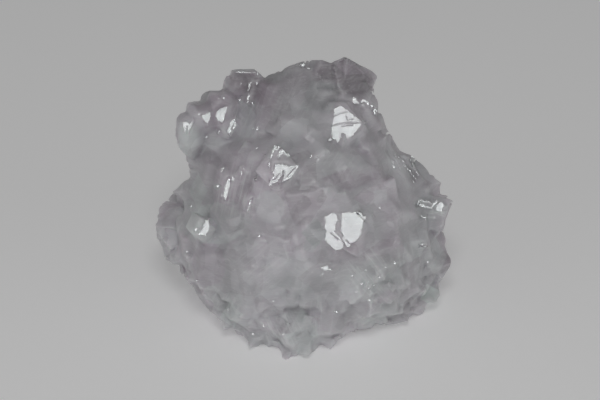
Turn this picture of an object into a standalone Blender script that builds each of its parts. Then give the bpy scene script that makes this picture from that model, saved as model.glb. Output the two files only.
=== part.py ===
"""Mangano calcite: one cluster of intergrown rhombohedral crystals, cut off flat where it grew.

The row frame is in metres, +Z up. The origin is the middle of the flat base and -Y is the front.
The cluster is one solid: rounded growth lobes, joined with the crystals that stand on them.
"""

import math
import random

import bmesh
import bpy
from mathutils import Matrix, Vector
from mathutils.bvhtree import BVHTree

MM = 0.001

# Driving dimensions in millimetres. Every place below is in the same frame.
HEART = Vector((0.0, 2.0, 20.0))  # the point that the crystals grew away from
BASE_CUT_DEPTH = 40.0  # how far below the base the cutter reaches
BASE_CUT_WIDTH = 120.0
SEED = 19

# The growth lobes: middle and half-axes of each ellipsoid.
LOBES = {
    "dome": ((1.8, 2.0, 13.0), (25.5, 24.5, 22.5)),
    "middle": ((0.0, 0.5, 26.0), (19.0, 17.0, 13.5)),
    "upper_left": ((-16.0, 6.5, 33.5), (8.0, 9.0, 8.0)),
    "crown": ((0.0, 8.0, 34.5), (12.5, 11.5, 10.5)),
    "upper_right": ((8.5, 7.0, 36.5), (7.0, 8.0, 8.5)),
    "right_shoulder": ((16.0, 4.0, 24.5), (7.0, 9.0, 7.5)),
    "left_flank": ((-20.0, 1.0, 14.0), (7.4, 9.5, 8.0)),
    "right_foot": ((20.5, 0.5, 10.5), (8.5, 9.5, 9.0)),
}
LOBE_SUBDIVISIONS = 3

# A crystal is given by its tip, in one of two ways. Azimuth 0 is the front and 90 is +X.
# By a face: the azimuth and elevation that the face looks along, and its roll. Roll 0 has
# the tip above the face and -90 has it on the right.
# By its axis: the azimuth, elevation and twist of the axis. Twist 60 turns an edge downwards.
# Flatness 0.70 is the cleavage form and 0.40 a nailhead.
GLINT = (0.0, 50.0)  # the direction that the bright, parallel faces share
# name: tip, azimuth and elevation, roll, edge, flatness, growth steps
BY_FACE = {
    "bright_upper": ((11.5, -2.6, 41.6), GLINT, -90, 6.6, 0.70, 2),
    "bright_middle": ((-0.8, -12.8, 37.2), GLINT, -86, 7.6, 0.70, 2),
    "bright_lower": ((11.8, -17.6, 27.8), GLINT, -71, 8.0, 0.62, 2),
    "bright_left": ((-17.6, -14.4, 25.4), GLINT, -76, 4.6, 0.62, 2),
    "comb_1": ((-20.8, 1.5, 37.0), GLINT, -88, 4.8, 0.70, 2),
    "comb_2": ((-18.6, 1.8, 39.9), GLINT, -88, 4.8, 0.70, 2),
    "comb_3": ((-15.4, 2.2, 41.7), GLINT, -88, 4.8, 0.70, 2),
    "comb_4": ((-13.0, 3.0, 41.9), GLINT, -88, 4.8, 0.70, 2),
    "comb_5": ((-12.7, -0.7, 40.0), GLINT, -88, 3.8, 0.70, 2),
    "top_block": ((-13.8, 9.0, 45.8), (6, 30), 48, 6.6, 0.80, 2),
    "edge_block": ((27.6, -5.0, 18.0), (10, 30), -149, 7.2, 0.70, 3),
}
# name: tip, azimuth and elevation, twist, edge, flatness, growth steps
BY_AXIS = {
    "crown_top": ((-1.6, 9.0, 46.2), (-10, 80), 20, 9.0, 0.36, 3),
    "crown_back": ((2.6, 14.6, 45.6), (170, 64), 20, 8.0, 0.40, 2),
    "crown_left": ((-6.0, 5.6, 45.4), (-42, 58), 50, 11.0, 0.38, 2),
    "crown_front": ((-1.4, -0.6, 44.0), (-6, 50), 0, 12.0, 0.36, 3),
    "crown_right": ((4.8, 3.0, 45.4), (26, 56), 30, 9.0, 0.42, 2),
    "crown_low": ((1.8, -6.4, 40.8), (6, 40), 60, 10.0, 0.40, 2),
    "block_right": ((8.6, 9.0, 49.4), (40, 76), 60, 9.4, 0.82, 2),
    "block_lower": ((11.8, 3.4, 42.6), (50, 34), 15, 7.0, 0.66, 2),
    "block_front": ((12.4, 2.4, 43.2), (28, 50), 0, 8.0, 0.50, 2),
    "shoulder_tip": ((14.2, 1.8, 40.0), (44, 40), 58, 8.4, 0.66, 2),
    "shoulder_front": ((12.6, -4.2, 36.8), (28, 30), 20, 9.0, 0.50, 2),
    "shoulder_slope": ((19.6, 0.2, 31.8), (56, 44), 64, 9.0, 0.46, 3),
    "shoulder_low": ((24.6, 0.8, 26.8), (66, 32), 30, 8.6, 0.52, 3),
    "edge_high": ((27.4, 2.4, 25.8), (74, 30), 40, 7.0, 0.62, 2),
    "edge_middle": ((24.8, -9.0, 19.4), (56, 22), 10, 8.6, 0.46, 2),
    "edge_lower": ((30.0, -4.4, 10.6), (72, 0), 30, 8.0, 0.52, 2),
    "edge_foot": ((28.2, -5.2, 5.2), (66, -4), 60, 6.4, 0.66, 2),
    "front_high": ((4.6, -10.0, 39.2), (18, 56), 20, 9.6, 0.42, 2),
    "front_right_high": ((9.4, -11.2, 36.2), (30, 46), 50, 9.0, 0.44, 2),
    "front_centre": ((4.8, -16.0, 33.2), (12, 36), 10, 10.0, 0.38, 3),
    "front_left": ((-4.4, -17.4, 31.4), (-8, 28), 44, 10.0, 0.38, 3),
    "front_low": ((0.8, -19.8, 27.8), (4, 36), 0, 8.6, 0.42, 2),
    "front_far_right": ((15.8, -10.2, 32.0), (50, 38), 24, 9.4, 0.42, 3),
    "right_middle": ((18.4, -12.4, 27.2), (50, 34), 56, 9.6, 0.42, 2),
    "right_lower": ((18.6, -16.0, 22.4), (44, 24), 20, 9.0, 0.44, 2),
    "right_belly": ((16.2, -19.2, 19.0), (34, 14), 52, 8.0, 0.46, 2),
    "band_outer": ((-18.6, -5.2, 33.0), (-40, 38), 10, 7.6, 0.40, 3),
    "band_inner": ((-13.6, -6.6, 36.6), (-44, 52), 40, 10.0, 0.40, 3),
    "band_right": ((-8.4, -8.8, 37.8), (-24, 58), 70, 9.0, 0.42, 2),
    "streak_high": ((-15.6, -10.0, 33.4), (-42, 42), 20, 9.0, 0.54, 4),
    "streak_low": ((-11.2, -15.0, 31.0), (-34, 32), 30, 9.0, 0.52, 4),
    "left_head": ((-13.8, -16.0, 27.4), (-32, 40), 50, 9.4, 0.40, 3),
    "left_upper": ((-21.6, -6.8, 25.4), (-60, 36), 10, 7.4, 0.44, 2),
    "left_tip": ((-28.8, -2.4, 18.2), (-74, 26), 40, 6.8, 0.56, 2),
    "left_mid": ((-24.0, -11.0, 20.4), (-56, 20), 20, 8.6, 0.46, 2),
    "left_shelf": ((-26.0, -7.6, 13.0), (-56, 2), 50, 6.8, 0.50, 2),
    "left_lens": ((-19.6, -17.2, 19.0), (-40, 18), 10, 9.6, 0.36, 2),
    "left_low": ((-19.8, -16.4, 11.6), (-46, 0), 40, 7.0, 0.42, 2),
    "belly_upper": ((-9.0, -20.6, 25.2), (-20, 32), 16, 10.0, 0.38, 3),
    "belly_mid": ((-8.6, -23.6, 19.4), (-14, 18), 50, 10.0, 0.36, 2),
    "belly_low": ((-10.6, -23.2, 13.4), (-22, 4), 10, 9.0, 0.40, 2),
    "belly_right": ((1.0, -24.0, 21.4), (2, 20), 30, 8.6, 0.42, 2),
    "foot_left": ((-13.0, -21.4, 6.6), (-30, -10), 60, 7.0, 0.50, 2),
    "foot_middle": ((-3.4, -25.0, 5.6), (-6, 2), 60, 8.2, 0.50, 2),
    "foot_right": ((5.4, -24.0, 5.6), (10, -8), 0, 8.0, 0.56, 3),
    "rim_left": ((-14.2, -18.6, 2.4), (-36, -10), 20, 4.4, 0.64, 1),
    "rim_front_left": ((-10.6, -22.4, 1.6), (-26, -6), 50, 4.6, 0.64, 2),
    "rim_front": ((-6.8, -23.8, 1.4), (-12, -4), 10, 4.2, 0.66, 1),
    "rim_point": ((-3.6, -24.8, 0.8), (-6, 0), 60, 4.8, 0.66, 1),
    "rim_front_right": ((5.4, -23.6, 1.6), (12, -4), 60, 4.6, 0.66, 2),
    "rim_right": ((16.8, -16.2, 2.6), (44, -6), 30, 5.0, 0.62, 2),
    "rim_far_right": ((21.6, -12.0, 3.2), (58, -2), 60, 5.4, 0.60, 2),
    "rim_corner": ((25.4, -8.6, 3.4), (66, -4), 20, 5.0, 0.62, 2),
    "foot_far_right": ((13.6, -21.2, 9.0), (30, -4), 30, 7.4, 0.52, 2),
}
STEP_SHRINK = 0.90  # each growth step is this much smaller than the one below it
STEP_RISE = 0.25  # and its tip stands this far higher

# The crystals that fill the rest: how many, edge from and to, flatness from and to,
# how far their tips stand off the lobes, and the lowest and highest elevation of their seats.
FIELDS = {
    "large": (64, (7.6, 10.4), (0.32, 0.46), (0.7, 1.6), (8, 90)),
    "medium": (92, (4.6, 6.6), (0.40, 0.60), (0.7, 1.6), (-42, 30)),
    "small": (100, (2.8, 4.2), (0.54, 0.76), (0.7, 1.8), (-48, -4)),
}
LATTICE_ROLL = -85.0  # the lattice that all crystals lean towards has its tips on the right
LATTICE_FLATNESS = 0.60
OUTWARD_SHARE = 0.62  # the share of a filling crystal's axis that points straight out
AXIS_JITTER = 0.20
TWIST_JITTER = 18.0
SEAT_JITTER = 7.0  # degrees that a seat moves from the even spacing
CLEAR_SHARE = 0.55  # a filling crystal stays this many edges away from a named one

PINK = (0.62, 0.55, 0.61, 1.0)


def collection(name, parent):
    found = bpy.data.collections.new(name)
    parent.children.link(found)
    return found


def mesh_object(name, bm, into):
    mesh = bpy.data.meshes.new(name)
    bm.to_mesh(mesh)
    bm.free()
    made = bpy.data.objects.new(name, mesh)
    into.objects.link(made)
    return made


def direction(azimuth, elevation):
    """A unit vector. Azimuth 0 is the front, 90 is +X; elevation is above the horizon."""
    a, e = math.radians(azimuth), math.radians(elevation)
    return Vector((math.sin(a) * math.cos(e), -math.cos(a) * math.cos(e), math.sin(e)))


def corner_up():
    """The turn that stands a cube on a corner, with one upper face towards the front."""
    stand = Vector((1, 1, 1)).rotation_difference(Vector((0, 0, 1))).to_matrix()
    return Matrix.Rotation(math.radians(45), 3, "Z") @ stand


def axis_turn(azimuth, elevation, twist):
    """The turn that points a crystal's axis in that direction."""
    aim = Vector((0, 0, 1)).rotation_difference(direction(azimuth, elevation)).to_matrix()
    return aim @ Matrix.Rotation(math.radians(twist), 3, "Z")


def face_turn(azimuth, elevation, roll, flatness):
    """The turn that points the front upper face in that direction, with its tip rolled about it."""
    normal_angle = math.atan(math.sqrt(2) * flatness)
    lay = Matrix.Rotation(-normal_angle, 3, "X")
    return axis_turn(azimuth, elevation, roll) @ lay


def tip_height(edge, flatness):
    """From the middle of a crystal to its tip."""
    return edge * flatness * math.sqrt(3) / 2


def add_rhombohedron(bm, tip, turn, edge, flatness):
    """A cube on its corner, pressed flat along the crystal's axis, turned and put in place."""
    made = bmesh.ops.create_cube(bm, size=edge * MM)["verts"]
    press = Matrix.Diagonal((1, 1, flatness))
    shape = (turn @ press @ corner_up()).to_4x4()
    middle = tip - turn @ Vector((0, 0, tip_height(edge, flatness)))
    bmesh.ops.transform(bm, matrix=Matrix.Translation(middle * MM) @ shape, verts=made)


def add_crystal(bm, tip, turn, edge, flatness, steps):
    """A crystal whose growth steps each stand on a slightly larger one."""
    rise = turn @ Vector((0, 0, STEP_RISE))
    for step in range(steps):
        below = steps - 1 - step
        add_rhombohedron(bm, tip - rise * below, turn, edge * STEP_SHRINK**step, flatness)


def lobes_mesh():
    """All lobes in one mesh, as closed shells that still overlap."""
    bm = bmesh.new()
    for middle, half in LOBES.values():
        made = bmesh.ops.create_icosphere(bm, subdivisions=LOBE_SUBDIVISIONS, radius=MM)["verts"]
        place = Matrix.Translation(Vector(middle) * MM) @ Matrix.Diagonal((*half, 1))
        bmesh.ops.transform(bm, matrix=place, verts=made)
    return bm


def seat_on_lobes(tree, azimuth, elevation):
    """The outermost point of the lobes in that direction from the heart, and its normal."""
    way = direction(azimuth, elevation)
    far = (HEART + way * 100.0) * MM
    place, normal, _, _ = tree.ray_cast(far, -way)
    return place / MM, normal


def field_directions(count, low, high, chance):
    """Evenly spread directions between two elevations, each moved a little."""
    golden = 180.0 * (3.0 - math.sqrt(5.0))
    bottom, top = math.sin(math.radians(low)), math.sin(math.radians(high))
    for i in range(count):
        rise = bottom + (top - bottom) * (i + 0.5) / count
        azimuth = i * golden + chance.uniform(-SEAT_JITTER, SEAT_JITTER)
        elevation = math.degrees(math.asin(rise)) + chance.uniform(-SEAT_JITTER, SEAT_JITTER)
        yield azimuth, elevation


def leaning_turn(outward, chance):
    """A turn near the shared lattice, leant over so that the crystal mostly points outward."""
    lattice = face_turn(*GLINT, LATTICE_ROLL, LATTICE_FLATNESS)
    lattice_axis = lattice @ Vector((0, 0, 1))
    jitter = Vector([chance.uniform(-AXIS_JITTER, AXIS_JITTER) for _ in range(3)])
    axis = outward * OUTWARD_SHARE + lattice_axis * (1 - OUTWARD_SHARE) + jitter
    twist = math.radians(chance.uniform(-TWIST_JITTER, TWIST_JITTER))
    lean = lattice_axis.rotation_difference(axis).to_matrix()
    return lean @ lattice @ Matrix.Rotation(twist, 3, "Z")


def named_crystals():
    """Tip, turn, edge, flatness and growth steps of each crystal that has its own name."""
    for tip, facing, roll, edge, flatness, steps in BY_FACE.values():
        yield Vector(tip), face_turn(*facing, roll, flatness), edge, flatness, steps
    for tip, facing, twist, edge, flatness, steps in BY_AXIS.values():
        yield Vector(tip), axis_turn(*facing, twist), edge, flatness, steps


def add_field(bm, tree, named, count, edges, flatnesses, standing, elevations, chance):
    for azimuth, elevation in field_directions(count, *elevations, chance):
        edge = chance.uniform(*edges)
        flatness = chance.uniform(*flatnesses)
        seat, outward = seat_on_lobes(tree, azimuth, elevation)
        tip = seat + outward * chance.uniform(*standing)
        turn = leaning_turn(outward, chance)
        if all((tip - other).length > CLEAR_SHARE * size for other, _, size, _, _ in named):
            add_rhombohedron(bm, tip, turn, edge, flatness)


def crystals_mesh(tree):
    bm = bmesh.new()
    named = list(named_crystals())
    for crystal in named:
        add_crystal(bm, *crystal)
    chance = random.Random(SEED)
    for field in FIELDS.values():
        add_field(bm, tree, named, *field, chance)
    return bm


def base_cutter(into):
    """Everything below the flat base."""
    bm = bmesh.new()
    made = bmesh.ops.create_cube(bm, size=MM)["verts"]
    size = Matrix.Diagonal((BASE_CUT_WIDTH, BASE_CUT_WIDTH, BASE_CUT_DEPTH, 1))
    down = Matrix.Translation((0, 0, -BASE_CUT_DEPTH * MM / 2))
    bmesh.ops.transform(bm, matrix=down @ size, verts=made)
    return mesh_object("base_cutter", bm, into)


def apply_boolean(target, other, operation):
    """Joins or cuts, and keeps the result as the target's own mesh."""
    cut = target.modifiers.new(operation.lower(), "BOOLEAN")
    cut.operation = operation
    cut.object = other
    cut.use_self = operation == "UNION"
    evaluated = target.evaluated_get(bpy.context.evaluated_depsgraph_get())
    result = bpy.data.meshes.new_from_object(evaluated)
    target.modifiers.clear()
    target.data = result


def keep_outer_skin(mesh):
    """Deletes the skins of sealed voids that the joined crystals leave inside."""
    bm = bmesh.new()
    bm.from_mesh(mesh)
    left = set(bm.verts)
    skins = []
    while left:
        skin, todo = set(), [left.pop()]
        while todo:
            vert = todo.pop()
            skin.add(vert)
            near = {edge.other_vert(vert) for edge in vert.link_edges} & left
            left -= near
            todo.extend(near)
        skins.append(skin)
    skins.sort(key=len)
    inner = [vert for skin in skins[:-1] for vert in skin]
    bmesh.ops.delete(bm, geom=inner, context="VERTS")
    bmesh.ops.triangulate(bm, faces=bm.faces)
    bm.to_mesh(mesh)
    bm.free()


def calcite_material():
    made = bpy.data.materials.new("mangano_calcite")
    made.use_nodes = True
    shader = made.node_tree.nodes["Principled BSDF"]
    shader.inputs["Base Color"].default_value = PINK
    shader.inputs["Roughness"].default_value = 0.25
    shader.inputs["Metallic"].default_value = 0.0
    return made


def main():
    for old in list(bpy.data.objects):
        bpy.data.objects.remove(old, do_unlink=True)
    scene_root = bpy.context.scene.collection
    parts = collection("mangano_calcite", scene_root)
    cutters = collection("cutters", scene_root)

    lobes = lobes_mesh()
    tree = BVHTree.FromBMesh(lobes)
    cluster = mesh_object("calcite_cluster", lobes, parts)
    crystals = mesh_object("crystal_shapes", crystals_mesh(tree), cutters)
    cutter = base_cutter(cutters)
    for guide in (crystals, cutter):
        guide.hide_render = True
        guide.display_type = "WIRE"

    apply_boolean(cluster, crystals, "UNION")
    apply_boolean(cluster, cutter, "DIFFERENCE")
    keep_outer_skin(cluster.data)
    cluster.data.materials.clear()
    cluster.data.materials.append(calcite_material())


main()
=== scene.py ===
"""The looks of the mangano calcite cluster: its fine crystals, its milky stone, light and camera.

Everything is in metres in the row frame, apart from the mesh work, which is in millimetres.
"""

import math
import random

import bmesh
import bpy
import numpy as np
from mathutils import Matrix, Vector
from mathutils.bvhtree import BVHTree


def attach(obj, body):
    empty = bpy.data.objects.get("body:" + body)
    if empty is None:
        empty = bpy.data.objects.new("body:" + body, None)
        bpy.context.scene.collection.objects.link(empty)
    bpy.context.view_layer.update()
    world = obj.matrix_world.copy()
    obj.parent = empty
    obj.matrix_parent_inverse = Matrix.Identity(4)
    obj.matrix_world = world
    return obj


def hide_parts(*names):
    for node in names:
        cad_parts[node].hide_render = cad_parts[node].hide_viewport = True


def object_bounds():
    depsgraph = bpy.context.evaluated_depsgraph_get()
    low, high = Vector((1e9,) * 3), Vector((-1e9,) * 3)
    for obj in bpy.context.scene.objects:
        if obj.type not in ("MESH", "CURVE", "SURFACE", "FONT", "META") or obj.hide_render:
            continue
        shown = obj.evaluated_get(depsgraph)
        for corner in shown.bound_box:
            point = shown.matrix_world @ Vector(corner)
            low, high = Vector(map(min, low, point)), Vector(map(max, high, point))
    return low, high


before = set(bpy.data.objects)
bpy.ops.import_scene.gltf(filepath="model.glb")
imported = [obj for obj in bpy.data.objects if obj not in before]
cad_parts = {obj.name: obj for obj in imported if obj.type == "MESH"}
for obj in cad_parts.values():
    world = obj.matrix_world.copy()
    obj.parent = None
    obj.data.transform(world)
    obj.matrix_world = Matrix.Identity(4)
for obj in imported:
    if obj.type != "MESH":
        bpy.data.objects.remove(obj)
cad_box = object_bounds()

MM = 0.001
NODE = "calcite_cluster"
HEART = Vector((0.0, 2.0, 20.0))  # the point that the crystals grew away from, in millimetres
VOXEL = 0.20
TRIANGLES = 192_000
SOFT_ROUNDS = 44  # how often the smooth parts are drawn towards their neighbours
SHARP_ANGLE = math.radians(32)  # edges sharper than this stay sharp in the shading
SAME_WAY = math.cos(math.radians(12))  # how nearly a face must look along its group's direction
PLATES = 140
# Small crystals: count, lowest and highest direction, edges, and how far they stand out.
DRUSE = (
    (420, -0.75, -0.1, (1.2, 2.6), (0.2, 0.6)),
    (420, -0.5, 0.1, (0.8, 1.6), (0.1, 0.3)),
    (60, -0.1, 0.4, (1.2, 2.4), (0.2, 0.5)),
    (40, 0.4, 0.98, (1.2, 2.4), (0.2, 0.5)),
)


def direction(azimuth, elevation):
    """A unit vector. Azimuth 0 is the front, 90 is +X; elevation is above the horizon."""
    a, e = math.radians(azimuth), math.radians(elevation)
    return Vector((math.sin(a) * math.cos(e), -math.cos(a) * math.cos(e), math.sin(e)))


# The view and the key light, in millimetres.
TARGET = Vector((-0.6, 0.0, 22.4))
DISTANCE = 450.0
LENS, SENSOR = 135.0, 36.0
EYE = TARGET + direction(0, 30) * DISTANCE
KEY_LIGHT = TARGET + direction(0, 50) * DISTANCE

# Places as the camera sees them are in view steps of 0.2 mm: 300, 200 is the target, the first
# number grows to the right and the second downwards.
VIEW_MIDDLE = (300.0, 200.0)
VIEW_WIDTH = 600.0
VIEW_STEP = 0.2

# The outline of the cluster, clockwise from its left lobe.
OUTLINE_MIDDLE = (300.0, 205.0)
OUTLINE = [
    (175.5, 130), (176, 122), (176.5, 118), (180, 113.5), (185.5, 111.5), (186, 106), (188.5, 101.8),
    (192, 101), (200, 100.5), (201, 95.5), (205, 92), (210, 90.2), (220.8, 90), (222.5, 85),
    (224.5, 79), (226.5, 76), (230, 75), (231, 71), (232, 70), (238, 69), (254, 68.8), (258, 71.5),
    (261.5, 74.5), (264.5, 78.2), (268, 75), (271, 73.8), (275, 73), (278, 71), (281, 71.8),
    (285, 68), (289.5, 65.5), (295, 64), (300, 61.8), (303, 61), (310, 60), (322, 60), (327, 62),
    (331, 63.5), (335, 61), (339.5, 59.5), (342, 57.5), (345, 56.8), (350, 59.2), (356, 62.5),
    (360, 65), (366, 67.5), (371, 70.5), (375, 73), (378, 76.5), (376, 80), (374.5, 83), (372, 86.3),
    (374.8, 89.3), (373.3, 91.5), (375, 96), (377.5, 100), (378.3, 105), (378, 112.6), (381.5, 113),
    (383.5, 118), (385.5, 125), (390, 132), (394, 140), (397.5, 146.5), (400, 150.5), (405, 152.5),
    (411, 155), (413, 156.5), (417, 160), (422, 164), (427.5, 170), (430, 175), (434, 175),
    (435, 178), (439, 181), (442, 182.5), (440, 187), (441, 195), (446, 195), (450, 197),
    (453.5, 200), (452, 205), (449.5, 210.5), (446, 220), (444, 230), (443.5, 232.5), (446, 238),
    (446.5, 241), (445, 245.5), (448, 254), (451, 258), (451.5, 262), (450, 267), (445, 274),
    (442, 280.5), (440, 282), (438.5, 285), (439.5, 290), (440, 295), (437, 299), (435.5, 303),
    (432, 302.5), (428, 303), (426, 305), (425, 309.5), (422, 314.5), (418, 315.5), (413, 315),
    (409.5, 317.5), (408.5, 321.5), (404, 321.5), (400, 323), (395, 324.5), (390, 325), (386, 326),
    (384, 324), (382, 325.8), (377, 324.3), (375, 326), (371.5, 329), (367, 330), (360, 331),
    (355, 332.5), (350, 333), (345, 337), (340, 340.5), (337, 342.5), (334, 347), (331, 350),
    (326, 348), (322, 346), (319.5, 346.5), (315, 351), (311, 353), (305, 356), (300, 355),
    (295, 357), (292, 356.5), (288, 359.5), (285, 360), (281.5, 357), (281.5, 353), (278.5, 349),
    (272, 347), (268, 348), (263.5, 345.5), (260, 345.5), (257, 347.5), (250, 348), (248, 347),
    (248, 341.5), (244, 342), (241, 340), (237, 337), (234, 330), (230, 329.2), (223, 330),
    (222, 326), (222, 322), (218, 319.5), (215.5, 315.5), (211, 313), (207, 308.5), (203, 304.5),
    (200, 300), (196.5, 294), (193.5, 287.5), (190, 284.5), (186, 279.5), (180.5, 273.5), (180, 270),
    (179.5, 265.5), (177, 264.5), (173, 264.5), (170, 261.5), (166.5, 260.5), (164.5, 257),
    (162.5, 250), (160, 243), (158.5, 240), (157, 239.5), (155, 235.5), (152.6, 231.5), (154, 226),
    (157, 222.5), (157.8, 219), (157, 216), (159, 213), (158.2, 209.5), (160.5, 205), (165, 201.5),
    (168.5, 199), (170, 196), (173, 191), (177, 188.5), (181, 184.5), (184, 181.5), (188, 179.5),
    (190, 176.5), (189, 170), (188.5, 168), (187, 164), (186, 160.5), (186, 156), (184.5, 154),
    (180.5, 150.5), (179, 148), (176.5, 142), (175.3, 136),
]

# Rounded lumps between the crystals: middle, half width and half height in view steps, and the
# place of the middle along Y in millimetres.
LUMPS = {
    "lobe_left": ((190, 134), (15, 24), 0.0),
    "lobe_middle": ((202, 117), (16, 17), 1.5),
    "lobe_right": ((220, 107), (19, 17), 3.5),
    "block_side": ((236, 87), (13, 14), 9.0),
    "foot_gap": ((291, 297), (12, 11), -20.6),
}
LUMP_DEPTH = 4.0

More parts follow.
